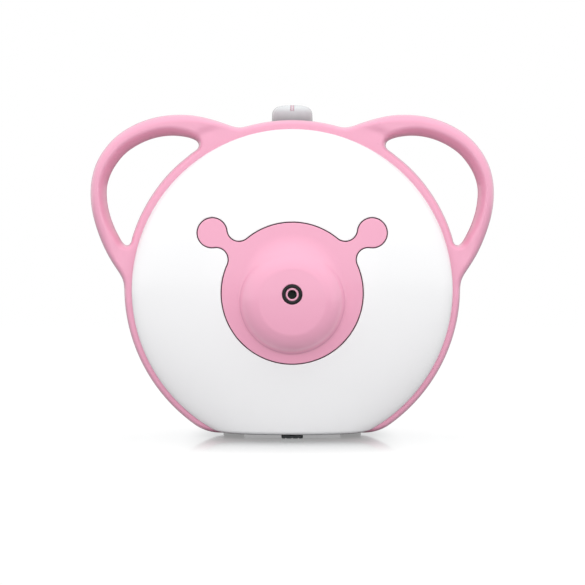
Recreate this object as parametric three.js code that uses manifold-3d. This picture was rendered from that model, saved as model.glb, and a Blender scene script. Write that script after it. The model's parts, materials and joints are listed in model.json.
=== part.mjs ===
// Tabletop nebulizer base unit, shaped like a bear's head.
// A glossy white domed front shell and a pink rear housing close on a pink ring frame with two hollow handles as ears.
// A pink snout plate with a hose port sits in the front shell, and a grey power dial turns on the crown.
// Inside are a motor-driven diaphragm pump on a rubber-mounted base plate, its hoses, an intake filter and the electronics.
//
// Millimetres, +Z up, the front faces -Y. The origin is the centre of the base, on the table.
// Most solids are drawn about the ring's centre: x to the right, y back from the parting plane, z up from that centre.

import * as THREE from "three";
import { mergeVertices } from "three/addons/utils/BufferGeometryUtils.js";
import Module from "manifold-3d";

const wasm = await Module();
wasm.setup();

// ---- driving dimensions ----
const PART_Y = 5; // the parting plane of the frame and the rear housing
const RING_Z = 101; // height of the ring's centre above the table
const RING_R = 114.75; // outer radius of the ring frame
const BASE = -99; // underside of the casing, from the ring's centre
const CORNER_R = 30; // radius between the ring and its flat base
const FLOOR_T = 2.8; // thickness of the casing's floor
const EDGE_T = 13; // half depth of the handles, and depth of the rounded ring edge
const EDGE_S = 4.6; // how far that rounding comes in
const WALL = 2.2; // wall of the hollow handles
const GAP = 0.15; // half of the gap at the parting plane
const TIDY = 0.02; // slivers left by the booleans are merged away within this
const FLANGE_R = 106.5; // inner radius of the ring's front flange
const FLANGE_Y = -9.5; // back of that flange
const RING_IN = 111.8; // inner radius of the ring behind the flange

const DOME_R = 108.6; // radius of the white front shell at its edge
const DOME_Z = -1.2; // its centre, a little below the ring's
const DOME_Y = -13.4; // back edge of the front shell
const DOME_H = 30.6; // rise of the dome
const DOME_T = 2.5; // its wall

const BACK_Y = 48; // depth of the rear housing
const BACK_R = 68; // radius of its flat back
const BACK_N = 3; // exponent of the shoulder's superellipse
const BACK_T = 2.6;

const PLATE_Z = -3.7; // centre of the snout plate's main circle
const PLATE_R = 46.4;
const LOBE_X = 52.9; // the two small ear lobes of the plate
const LOBE_Z = 39.9;
const LOBE_R = 9.7;
const LOBE_FILLET = 8.4;
const SEAM = 1.0; // groove between the plate and the front shell

const SNOUT_Z = -8.8; // centre of the snout
const SNOUT_R = 35.2;
const SNOUT_DISC = 21.5; // radius of its front face
const SNOUT_Y = -57.4; // its front
const PORT_Z = -4.5; // the hose port

const DIAL_Y = 17; // the dial's axis, back from the parting plane
const DIAL_R = 14.4;
const DIAL_SHOULDER = 6.5;
const DIAL_TOP = 126.4;
const DIAL_MARK = 121.6; // lower end of its pointer
const DIAL_BOTTOM = 108.8;
const WELL_Z = 108.4;
const WELL_R = 14.95;

const FOOT = { w: 14.5, d: 8, h: 2, front: [0, -18.6], rear: [41, 26.5] };

const MOTOR = { y: 12, z: -50, r: 21, x0: -56, x1: -11.4 };
const CASE = { x0: -11, x1: 25, y0: -12, y1: 36, z0: -78.7, z1: -14 }; // crankcase
const THROW = 2.5; // crank throw
const ROD_X = [5, 12]; // the connecting rod, along the shaft

// silhouette of an ear, from the ring's centre: angle in degrees, radius
const EAR = [
  [1.5, 114.95], [4, 117.2], [7, 122.3], [10, 127.8], [14, 134.7], [18, 141.7], [22, 148.1], [26, 153.5],
  [30, 157.4], [34, 159.3], [38, 159.5], [42, 158.1], [46, 155.1], [50, 150.9], [54, 145.8], [58, 139.6],
  [62, 132.5], [66, 124.7], [69, 118.9], [71, 115.9], [73, 114.85],
];
// finger opening of the handle, right side
const OPENING = [
  [112.6, 28.9], [115.4, 30.2], [120.1, 37.8], [123.6, 46.0], [126.0, 54.6], [127.1, 63.0], [126.8, 70.0],
  [124.6, 77.4], [120.6, 84.6], [114.6, 91.8], [106.4, 97.6], [97.0, 101.8], [87.0, 104.0], [77.0, 104.0],
  [68.6, 102.2], [64.6, 99.8], [63.9, 96.2], [69.6, 91.3], [78.6, 83.8], [86.8, 75.4], [93.8, 66.4],
  [100.2, 56.2], [105.4, 45.6], [109.2, 35.2], [110.6, 30.2],
];

// ---- colours ----
const look = (name, colour, roughness, metalness = 0) => new THREE.MeshStandardMaterial({ name, color: colour, roughness, metalness });
const white = look("gloss_white", 0xf3f3f2, 0.18);
const pink = look("satin_pink", 0xf2abc6, 0.32);
const grey = look("dial_grey", 0xc4caca, 0.25);
const black = look("black_rubber", 0x2a2b2e, 0.6);
const darkPlastic = look("black_plastic", 0x222326, 0.45);
const steel = look("steel", 0xb9bcc0, 0.3, 1);
const zinc = look("zinc_screw", 0xa9adb2, 0.35, 1);
const brass = look("brass", 0xc8a24e, 0.3, 1);
const copper = look("winding", 0xa85b2c, 0.4, 1);
const castAlu = look("cast_aluminium", 0xa5a8ab, 0.5, 1);
const greyPlastic = look("grey_plastic", 0x8d9296, 0.5);
const silicone = look("silicone", 0xdfe3e2, 0.4);
const felt = look("felt", 0xece9e0, 0.95);
const board = look("board_green", 0x1f5a3a, 0.5);
const blue = look("wire_blue", 0x2c5aa8, 0.5);
const brown = look("wire_brown", 0x6a3f26, 0.5);

// ---- solids ----
function solid(geometry) {
  const flat = geometry.index ? geometry.toNonIndexed() : geometry;
  const bare = new THREE.BufferGeometry().setAttribute("position", flat.getAttribute("position"));
  const merged = mergeVertices(bare, 1e-4);
  const p = merged.attributes.position.array;
  const tris = [];
  let volume = 0;
  const index = merged.index.array;
  for (let i = 0; i < index.length; i += 3) {
    const [a, b, c] = [index[i], index[i + 1], index[i + 2]];
    if (a === b || b === c || a === c) continue;
    tris.push(a, b, c);
    const [ax, ay, az] = [p[3 * a], p[3 * a + 1], p[3 * a + 2]];
    const [bx, by, bz] = [p[3 * b], p[3 * b + 1], p[3 * b + 2]];
    const [cx, cy, cz] = [p[3 * c], p[3 * c + 1], p[3 * c + 2]];
    volume += ax * (by * cz - bz * cy) + ay * (bz * cx - bx * cz) + az * (bx * cy - by * cx);
  }
  if (volume < 0) for (let i = 0; i < tris.length; i += 3) [tris[i + 1], tris[i + 2]] = [tris[i + 2], tris[i + 1]];
  return new wasm.Manifold(new wasm.Mesh({ numProp: 3, vertProperties: new Float32Array(p), triVerts: new Uint32Array(tris) }));
}
const join = (...list) => list.reduce((a, b) => a.add(b));
const cut = (a, ...list) => list.reduce((s, b) => s.subtract(b), a);
const common = (...list) => list.reduce((a, b) => a.intersect(b));

// a box between two corners
function box(x0, x1, y0, y1, z0, z1) {
  return solid(new THREE.BoxGeometry(x1 - x0, y1 - y0, z1 - z0).translate((x0 + x1) / 2, (y0 + y1) / 2, (z0 + z1) / 2));
}
// a cylinder along an axis, between a and b on it; c is its place on the other two axes, in x, y, z order
function cylinder(axis, r, a, b, c, sides = 20, r2 = r) {
  const g = new THREE.CylinderGeometry(r2, r, b - a, sides); // along its own Y, from a up to b
  if (axis === "y") g.translate(c[0], (a + b) / 2, c[1]);
  if (axis === "z") g.rotateX(Math.PI / 2).translate(c[0], c[1], (a + b) / 2);
  if (axis === "x") g.rotateZ(-Math.PI / 2).translate((a + b) / 2, c[0], c[1]);
  return solid(g);
}
// a profile of [radius, position] turned about an axis through c
function turned(axis, profile, c = [0, 0], sides = 72) {
  const g = new THREE.LatheGeometry(profile.map(([r, y]) => new THREE.Vector2(r, y)), sides);
  if (axis === "y") g.translate(c[0], 0, c[1]);
  if (axis === "z") g.rotateX(Math.PI / 2).translate(c[0], c[1], 0);
  if (axis === "x") g.rotateZ(-Math.PI / 2).translate(0, c[0], c[1]);
  return solid(g);
}
// a flat outline of [x, z] points and its holes, between y0 and y1
function prism(outline, y0, y1, holes = []) {
  const shape = new THREE.Shape(outline.map(([x, z]) => new THREE.Vector2(x, z)));
  holes.forEach((h) => shape.holes.push(new THREE.Path(h.map(([x, z]) => new THREE.Vector2(x, z)))));
  const g = new THREE.ExtrudeGeometry(shape, { depth: y1 - y0, bevelEnabled: false, steps: 1 });
  return solid(g.rotateX(Math.PI / 2).translate(0, y1, 0));
}
// the same, with both faces rounded off by a quarter ellipse, t deep and s wide, set in by inset; centred on y = 0
function pillow(outline, holes, t, s, inset, segments) {
  const shape = new THREE.Shape(outline.map(([x, z]) => new THREE.Vector2(x, z)));
  holes.forEach((h) => shape.holes.push(new THREE.Path(h.map(([x, z]) => new THREE.Vector2(x, z)))));
  const g = new THREE.ExtrudeGeometry(shape, { depth: 0.2, steps: 1, bevelEnabled: true, bevelThickness: t - 0.1, bevelSize: s, bevelOffset: -s - inset, bevelSegments: segments });
  return solid(g.rotateX(Math.PI / 2).translate(0, 0.1, 0));
}
// a round tube or rod along a smooth curve
function along(points, r, steps, sides = 8, bore = 0) {
  const ring = (q) => Array.from({ length: sides }, (_, i) => new THREE.Vector2(q * Math.cos((2 * Math.PI * i) / sides), q * Math.sin((2 * Math.PI * i) / sides)));
  const shape = new THREE.Shape(ring(r));
  if (bore) shape.holes.push(new THREE.Path(ring(bore).reverse()));
  const curve = new THREE.CatmullRomCurve3(points.map((p) => new THREE.Vector3(...p)), false, "centripetal");
  return solid(new THREE.ExtrudeGeometry(shape, { steps, extrudePath: curve, bevelEnabled: false }));
}
// an outline moved outwards along its normals; the outline runs anticlockwise seen from the front
function grown(outline, by) {
  const n = outline.length;
  return outline.map((p, i) => {
    const a = outline[(i + n - 1) % n], b = outline[(i + 1) % n];
    const e1 = [p[0] - a[0], p[1] - a[1]], e2 = [b[0] - p[0], b[1] - p[1]];
    const l1 = Math.hypot(...e1), l2 = Math.hypot(...e2);
    const n1 = [e1[1] / l1, -e1[0] / l1], n2 = [e2[1] / l2, -e2[0] / l2];
    const m = [n1[0] + n2[0], n1[1] + n2[1]], k = (by * 2) / (m[0] * m[0] + m[1] * m[1]);
    return [p[0] + m[0] * k, p[1] + m[1] * k];
  });
}
const polar = (deg, r) => [r * Math.cos((deg * Math.PI) / 180), r * Math.sin((deg * Math.PI) / 180)];
const arc = (cx, cz, r, a0, a1, n) => Array.from({ length: n + 1 }, (_, i) => {
  const [x, z] = polar(a0 + ((a1 - a0) * i) / n, r);
  return [cx + x, cz + z];
});
const mirrored = (half) => [...half, ...half.slice().reverse().filter(([x]) => Math.abs(x) > 1e-6).map(([x, z]) => [-x, z])];

// ---- outlines ----
// the frame: flat base, rounded corners, ring and ears
function frameOutline() {
  const cz = BASE + CORNER_R, cx = Math.sqrt((RING_R - CORNER_R) ** 2 - cz ** 2);
  const tangent = (Math.atan2(cz, cx) * 180) / Math.PI;
  const half = [[0, BASE], ...arc(cx, cz, CORNER_R, -90, tangent, 4)];
  for (let a = tangent + 6; a < 0; a += 6) half.push(polar(a, RING_R));
  EAR.forEach(([a, r]) => half.push(polar(a, r)));
  half.push(polar(78.5, RING_R), polar(84.2, RING_R), [0, RING_R]);
  return mirrored(half);
}
// a circle with a flat bottom
function cutCircle(r, bottom, n = 60) {
  if (bottom === undefined) return arc(0, 0, r, 0, 360 - 360 / n, n - 1);
  const a = (Math.asin(bottom / r) * 180) / Math.PI;
  return arc(0, 0, r, a, 180 - a, n);
}
// the snout plate: a circle with two lobes, run together by fillets
function plateOutline(fine = 1) {
  const R = PLATE_R, r = LOBE_R, f = LOBE_FILLET, dx = LOBE_X, dz = LOBE_Z;
  const d = Math.hypot(dx, dz), A = R + f, B = r + f;
  const along_ = (A * A - B * B + d * d) / (2 * d), up = Math.sqrt(A * A - along_ * along_);
  const ux = dx / d, uz = dz / d;
  const lower = [ux * along_ + uz * up, uz * along_ - ux * up];
  const upper = [ux * along_ - uz * up, uz * along_ + ux * up];
  const deg = (x, z) => (Math.atan2(z, x) * 180) / Math.PI;
  const pts = [];
  pts.push(...arc(0, 0, R, -90, deg(...lower), Math.round(16 * fine)));
  // the lower fillet turns the other way, from the circle to the lobe
  const l0 = deg(-lower[0], -lower[1]), l1 = deg(dx - lower[0], dz - lower[1]);
  pts.push(...arc(lower[0], lower[1], f, l0 < 0 ? l0 + 360 : l0, l1, Math.round(7 * fine)).slice(1));
  const b0 = deg(lower[0] - dx, lower[1] - dz), b1 = deg(upper[0] - dx, upper[1] - dz);
  pts.push(...arc(dx, dz, r, b0, b1 < b0 ? b1 + 360 : b1, Math.round(14 * fine)).slice(1));
  const u0 = deg(dx - upper[0], dz - upper[1]), u1 = deg(-upper[0], -upper[1]);
  pts.push(...arc(upper[0], upper[1], f, u0, u1 > u0 ? u1 - 360 : u1, Math.round(7 * fine)).slice(1));
  pts.push(...arc(0, 0, R, deg(...upper), 90, Math.round(5 * fine)).slice(1));
  pts[0] = [0, -R];
  pts[pts.length - 1] = [0, R];
  return mirrored(pts).map(([x, z]) => [x, z + PLATE_Z]);
}

// ---- casing surfaces ----
// the dome of the front shell, set in by an offset along its normal, as a solid from its edge plane forward
function domeProfile(inset, n = 8) {
  const at = (a) => {
    const c = Math.max(0, Math.cos(a)), s = Math.max(0, Math.sin(a));
    return [DOME_R * c, DOME_Y - DOME_H * s ** 1.1];
  };
  const pts = [];
  for (let i = 0; i <= n; i++) {
    const a = (Math.PI / 2) * (i / n) ** 1.05;
    const [r, y] = at(a), [ra, ya] = at(Math.max(0, a - 1e-3)), [rb, yb] = at(Math.min(Math.PI / 2, a + 1e-3));
    const tr = rb - ra, ty = yb - ya, l = Math.hypot(tr, ty) || 1;
    pts.push([Math.max(0, r + (ty / l) * inset), y - (tr / l) * inset]);
  }
  pts[0] = [DOME_R - inset, DOME_Y];
  pts[n] = [0, DOME_Y - DOME_H + inset];
  return pts;
}
const domeSolid = (inset, sides = 56, back = DOME_Y, n = 8) => turned("y", [[0, back], [DOME_R - inset, back], ...(back === DOME_Y ? domeProfile(inset, n).slice(1) : domeProfile(inset, n))], [0, DOME_Z], sides);
// the rear housing's shoulder
function backProfile(t, y0, n = 7) {
  const pts = [];
  for (let i = 0; i <= n; i++) {
    const a = (Math.PI / 2) * (i / n);
    const s = Math.sin(a) ** (2 / BACK_N), c = Math.cos(a) ** (2 / BACK_N);
    const y = (BACK_Y - t) * s;
    if (i && y <= y0 + 0.5) continue;
    pts.push([BACK_R + (RING_R - t - BACK_R) * (i === n ? 0 : c), i ? y : y0]);
  }
  return [[0, y0], ...pts, [0, BACK_Y - t]];
}

const outline = frameOutline();
const opening = OPENING;
const openingLeft = OPENING.map(([x, z]) => [-x, z]).reverse();

// the ears' and ring's outer form, and the hollow inside the ears
const rounded = pillow(outline, [opening.slice().reverse(), openingLeft.slice().reverse()], EDGE_T, EDGE_S, 0, 3);
const coreFull = pillow(outline, [opening.slice().reverse(), openingLeft.slice().reverse()], EDGE_T - WALL - 0.2, 2.2, WALL, 1);
const earHollow = cut(coreFull, cylinder("y", RING_R + 2.4, -20, 20, [0, 0], 60), box(-200, 200, -20, 20, -120, 20));

// housing screws and the bosses that hold them
const SCREW_R = 96;
const screwAt = [40, 140, 220, 320].map((a) => polar(a, SCREW_R));

const parts = [];
const group = new THREE.Group();
const casing = new THREE.Group(); // about the ring's centre
casing.position.set(0, PART_Y, RING_Z);
group.add(casing);
function node(name, raw, material, parent = casing) {
  const body = raw.simplify ? raw.simplify(TIDY) : raw;
  const m = body.getMesh(), n = m.numProp;
  const v = new Float32Array(m.numVert * 3);
  for (let i = 0; i < m.numVert; i++) v.set(m.vertProperties.subarray(i * n, i * n + 3), i * 3);
  const g = new THREE.BufferGeometry().setAttribute("position", new THREE.BufferAttribute(v, 3)).setIndex(new THREE.BufferAttribute(new Uint32Array(m.triVerts), 1));
  g.computeVertexNormals();
  const mesh = new THREE.Mesh(g, material);
  mesh.name = name;
  parent.add(mesh);
  parts.push(mesh);
  return body;
}

// ---- ring frame: the ring with the front halves of the handles ----
{
  const front = common(rounded, box(-200, 200, -20, -GAP, -150, 200));
  const hole = prism(cutCircle(FLANGE_R, BASE + FLOOR_T, 42), -20, 5);
  const inside = prism(cutCircle(RING_IN, BASE + FLOOR_T, 42), FLANGE_Y, 5);
  let body = cut(front, hole, inside, earHollow);
  for (const [x, z] of screwAt) {
    const a = (Math.atan2(z, x) * 180) / Math.PI;
    const rib = solid(new THREE.BoxGeometry(15.6, 11.4, 5).translate(SCREW_R + 7.2, -6.85, 0).rotateY((-a * Math.PI) / 180));
    body = join(body, cylinder("y", 4.6, -12.55, -GAP, [x, z], 12), rib);
    body = cut(body, cylinder("y", 2.0, -10.5, 2, [x, z], 8));
  }
  node("ring_frame", body, pink);
}

// ---- rear housing: the bowl with the rear halves of the handles ----
{
  const wedge = (s) => prism([[s * 60, 60], [s * 66, -1], [s * 170, -2], [s * 170, 150], [s * 20, 150], [s * 24, 76]].slice()[s > 0 ? "slice" : "reverse"](), -1, 20);
  const ears = common(rounded, box(-200, 200, GAP, 20, -150, 200), wedge(1).add(wedge(-1)));
  const low = outline.filter(([, z]) => z < -62), top = low.length / 2;
  const corners = prism([...low.slice(0, Math.ceil(top)), [150, -50], [150, 150], [-150, 150], [-150, -50], ...low.slice(Math.ceil(top))], -1, 60);
  const drum = common(turned("y", backProfile(0, GAP, 6), [0, 0], 54), corners);
  let body = join(drum, ears);
  const hollow = common(turned("y", backProfile(BACK_T, -1, 4), [0, 0], 40), box(-150, 150, -5, 60, BASE + FLOOR_T, 150));
  body = cut(body, hollow, earHollow);
  // the boss under the dial, the posts of the control board and of the power board
  body = join(body, common(cylinder("z", 17, 103.5, 112.5, [0, DIAL_Y], 24), box(-30, 30, GAP, 60, 90, 120)));
  for (const x of [-24, 24]) body = join(body, cylinder("z", 3.2, 84.9, 108, [x, DIAL_Y + 4], 8));
  for (const [x, z] of [[-70, 2], [-70, 42], [-16, 2], [-16, 42]]) body = join(body, cylinder("y", 3, 38.3, 46.5, [x, z], 8));
  // screw bosses
  for (const [x, z] of screwAt) body = join(body, common(cylinder("y", 5.8, GAP, 46, [x, z], 12), turned("y", backProfile(1, GAP, 4), [0, 0], 36)));
  for (const [x, z] of screwAt) body = cut(body, cylinder("y", 4.2, 18, 60, [x, z], 12), cylinder("y", 2.0, -1, 19, [x, z], 8));
  // the dial's well and shaft hole
  body = cut(body, cylinder("z", WELL_R, WELL_Z, 130, [0, DIAL_Y], 28), cylinder("z", 3.6, 95, 130, [0, DIAL_Y], 12));
  // intake filter hole, mains inlet hole
  body = cut(body, cylinder("y", 13.4, 40, 60, [40, 30], 24));
  body = cut(body, box(37.6, 62.4, 30, 60, -62.4, -47.6));
  // vent slots beside the motor
  for (let i = 0; i < 7; i++) {
    const z = -78 + 8.4 * i + 6, half = [15, 19.5, 21.5, 22, 21.5, 19.5, 15][i];
    body = cut(body, prism([...arc(-38 + half, z - 5, 1.6, -90, 90, 2), ...arc(-38 - half, z - 5, 1.6, 90, 270, 2)], 40, 60));
  }
  // holes for the rear feet
  for (const s of [-1, 1]) body = cut(body, cylinder("z", 2.4, -110, -90, [s * FOOT.rear[0], FOOT.rear[1]], 12));
  node("rear_housing", body, pink);
}

// ---- front shell ----
const plate = plateOutline(0.62);
{
  let body = common(domeSolid(0), box(-150, 150, -60, 0, BASE, 150));
  const hollow = common(domeSolid(DOME_T, 36, DOME_Y + 4, 4), box(-150, 150, -60, 0, BASE + FLOOR_T, 150));
  body = cut(body, hollow);
  body = cut(body, prism(grown(plate, SEAM), -60, -20));
  // snap hooks that catch behind the ring's flange
  for (const a of [2, 62, 118, 178, 228, 312]) {
    const turn = (g) => solid(g.rotateY((-a * Math.PI) / 180));
    const root = 3.2 + DOME_Z * Math.sin((a * Math.PI) / 180); // the wall is off the ring's centre
    body = join(
      body,
      turn(new THREE.BoxGeometry(root, 4.6, 11).translate(103.4 + root / 2, -15.7, 0)),
      turn(new THREE.BoxGeometry(1.5, 11.6, 11).translate(104.75, -12, 0)),
      turn(new THREE.BoxGeometry(3.4, 2.2, 11).translate(105.9, -7.3, 0)),
    );
  }
  body = cut(body, cylinder("z", 2.4, -110, -90, FOOT.front, 12));
  node("front_shell", body, white);
}

// ---- snout plate, its gasket and the hose port ----
{
  const band = (a, b) => cut(domeSolid(a, a < 1 ? 56 : 28, -20, a < 1 ? 8 : 4), domeSolid(b, 28, -19, 4));
  let body = join(common(prism(plate, -60, -25), band(0, 5.6)), common(prism(grown(plate, 3.4), -60, -25), band(4.0, 5.6)));
  body = cut(body, common(prism(grown(plate, -2.6), -60, -15), band(2.4, 9)));
  const outer = [[0, SNOUT_Y - 0.5], [12, SNOUT_Y - 0.35], [SNOUT_DISC, SNOUT_Y + 0.6], [26, SNOUT_Y + 1.9], [30, SNOUT_Y + 4.2], [33, SNOUT_Y + 7.4], [34.7, SNOUT_Y + 11.2], [SNOUT_R, SNOUT_Y + 14.2], [SNOUT_R, -39.5], [0, -39.5]];
  const inner = [[0, SNOUT_Y + 2.0], [SNOUT_DISC - 1, SNOUT_Y + 2.6], [28, SNOUT_Y + 6.0], [32, SNOUT_Y + 12.6], [32.6, SNOUT_Y + 15], [32.6, -30], [0, -30]];
  const at = [0, SNOUT_Z];
  body = join(body, turned("y", outer, at, 36));
  body = cut(body, turned("y", inner, at, 20), cylinder("y", 6.6, -70, -40, [0, PORT_Z], 24));
  node("snout_plate", body, pink);
  const skirt = cut(common(prism(grown(plate, 3.4), -60, -25), band(2.7, 3.8)), prism(grown(plate, 0.2), -61, -24));
  node("plate_gasket", skirt, black);
}
node("port_grommet", turned("y", [[4.5, -57.5], [5.1, -58], [5.8, -58], [6.35, -57.5], [6.35, -54.8], [8.6, -54.8], [8.6, -53.7], [4.5, -53.7], [4.5, -57.5]], [0, PORT_Z], 24), black);
{
  let body = join(
    turned("y", [[0, -57.5], [4.0, -57.5], [4.3, -57.2], [4.3, -53.5], [9.2, -53.5], [9.2, -51.7], [5.2, -51.7], [5.2, -31], [0, -31]], [0, PORT_Z], 20),
    cylinder("x", 2.3, 3, 14.5, [-36, PORT_Z], 12),
  );
  body = cut(body, cylinder("y", 2.98, -60, -34, [0, PORT_Z], 20), cylinder("x", 1.4, 0, 20, [-36, PORT_Z], 8));
  node("hose_port", body, pink);
}

// ---- power dial ----
{
  const shoulder = (inset) => {
    const pts = [[0, DIAL_BOTTOM], [DIAL_R - inset, DIAL_BOTTOM]];
    for (let i = 0; i <= 5; i++) {
      const [c, s] = polar((90 * i) / 5, DIAL_SHOULDER - inset);
      pts.push([DIAL_R - DIAL_SHOULDER + c, DIAL_TOP - 0.5 - DIAL_SHOULDER + s]);
    }
    return [...pts, [0, DIAL_TOP - inset]];
  };
  const at = [0, DIAL_Y];
  const skin = (a, b) => cut(turned("z", shoulder(a), at, 32), turned("z", shoulder(b), at, 32));
  let body = turned("z", shoulder(0), at, 32);
  body = cut(body, cylinder("z", 3.3, 100, 118.6, at, 14));
  body = cut(body, common(skin(-1, 0.9), box(-1.3, 1.3, DIAL_Y - 20, DIAL_Y - 5.9, DIAL_MARK, 130)));
  node("power_dial", body, grey);
  node("dial_pointer", common(skin(0.05, 0.8), box(-1.2, 1.2, DIAL_Y - 20, DIAL_Y - 6, DIAL_MARK + 0.1, 130)), pink);
  const shaft = common(cylinder("z", 3, 92, 118.2, at, 14), box(-5, 5, DIAL_Y - 5, DIAL_Y + 2, 90, 120).add(box(-5, 5, DIAL_Y - 5, DIAL_Y + 5, 90, 108)));
  node("dial_shaft", shaft, steel);
  const pot = cut(join(box(-8, 8, DIAL_Y - 8, DIAL_Y + 8, 86, 94.5), cylinder("z", 5, 94, 103.2, at, 16)), cylinder("z", 3.3, 91.7, 105, at, 14));
  node("potentiometer", pot, greyPlastic);
  let pcb = box(-29, 29, DIAL_Y - 10, DIAL_Y + 13, 82.9, 84.5);
  for (const x of [-24, 24]) pcb = cut(pcb, cylinder("z", 1.4, 80, 90, [x, DIAL_Y + 4], 10));
  node("control_board", pcb, board);
}

// ---- feet: a pad with a stud pushed through the floor ----
function foot(name, [x, y]) {
  const w = FOOT.w / 2, d = FOOT.d / 2, r = 2.2;
  const corner = (cx, cy, a) => arc(cx, cy, r, a, a + 90, 3);
  const pts = [...corner(w - r, d - r, 0), ...corner(-w + r, d - r, 90), ...corner(-w + r, -d + r, 180), ...corner(w - r, -d + r, 270)];
  const shape = new THREE.Shape(pts.map(([a, b]) => new THREE.Vector2(a + x, b + y)));
  const pad = solid(new THREE.ExtrudeGeometry(shape, { depth: FOOT.h - 0.75, bevelEnabled: true, bevelThickness: 0.6, bevelSize: 0.6, bevelOffset: -0.6, bevelSegments: 1, steps: 1 }).translate(0, 0, BASE - FOOT.h + 0.6));
  const stem = join(cylinder("z", 2, BASE - 0.5, -94.5, [x, y], 12), cylinder("z", 3.1, -95.9, -94.2, [x, y], 12, 2.2));
  node(name, join(common(pad, box(-100, 100, -60, 60, BASE - FOOT.h, BASE - 0.15)), stem), black);
}
foot("foot_front", FOOT.front);
foot("foot_rear_right", FOOT.rear);
foot("foot_rear_left", [-FOOT.rear[0], FOOT.rear[1]]);

// ---- housing screws ----
screwAt.forEach(([x, z], i) => {
  const body = cut(turned("y", [[0, -8.5], [1.1, -8.5], [1.6, -7.4], [1.6, 18.3], [3.5, 18.3], [3.5, 19.8], [2.4, 21.1], [0, 21.2]], [x, z], 10), box(x - 2, x + 2, 19.9, 22, z - 0.4, z + 0.4), box(x - 0.4, x + 0.4, 19.9, 22, z - 2, z + 2));
  node("housing_screw_" + (i + 1), body, zinc);
});

// ---- mains inlet ----
{
  const X = 50, Z = -55;
  let body = join(box(X - 12, X + 12, 29, 47.6, Z - 7, Z + 7), box(X - 14, X + 14, 40.6, 42.6, Z - 9, Z + 9));
  const slot = (h, w) => [...arc(X + h - 1.2, Z + w - 1.2, 1.2, 0, 90, 2), ...arc(X - h + 1.2, Z + w - 1.2, 1.2, 90, 180, 2), ...arc(X - h + 1.2, Z - w + 1.2, 1.2, 180, 270, 2), ...arc(X + h - 1.2, Z - w + 1.2, 1.2, 270, 360, 2)];
  body = cut(body, prism(slot(10.2, 4.6), 32.6, 60));
  for (const s of [-1, 1]) body = cut(body, cylinder("y", 1.5, 20, 40, [X + s * 4.3, Z], 10));
  node("mains_inlet", body, darkPlastic);
  for (const [s, name] of [[-1, "left"], [1, "right"]]) node("inlet_pin_" + name, turned("y", [[0, 24], [1.2, 24], [1.2, 44.4], [0.8, 45.2], [0, 45.4]], [X + s * 4.3, Z], 10), brass);
}

// ---- intake filter ----
{
  const at = [40, 30];
  let cup = join(turned("y", [[0, 32], [12.8, 32], [12.8, 44.2], [11.4, 44.2], [11.4, 34], [0, 34]], at, 22), cylinder("x", 2.2, 17, 28, [36.8, 30], 10), cylinder("x", 4.3, 25.4, 28.6, [36.8, 30], 10));
  cup = cut(cup, cylinder("x", 1.4, 10, 30, [36.8, 30], 8));
  node("filter_cup", cup, greyPlastic);
  node("filter_felt", turned("y", [[0, 36.2], [10.9, 36.2], [10.9, 39.6], [0, 39.6]], at, 24), felt);
  let cap = turned("y", [[9.4, 41.4], [10.9, 41.4], [10.9, 44.7], [13.0, 44.7], [13.0, 47.4], [12.4, 48], [0, 48], [0, 45.6], [9.4, 45.6], [9.4, 41.4]], at, 24);
  for (const dx of [-6, -2, 2, 6]) cap = cut(cap, box(40 + dx - 0.8, 40 + dx + 0.8, 40, 50, 30 - (Math.abs(dx) > 4 ? 5 : 7), 30 + (Math.abs(dx) > 4 ? 5 : 7)));
  node("filter_cap", cap, grey);
}

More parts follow.
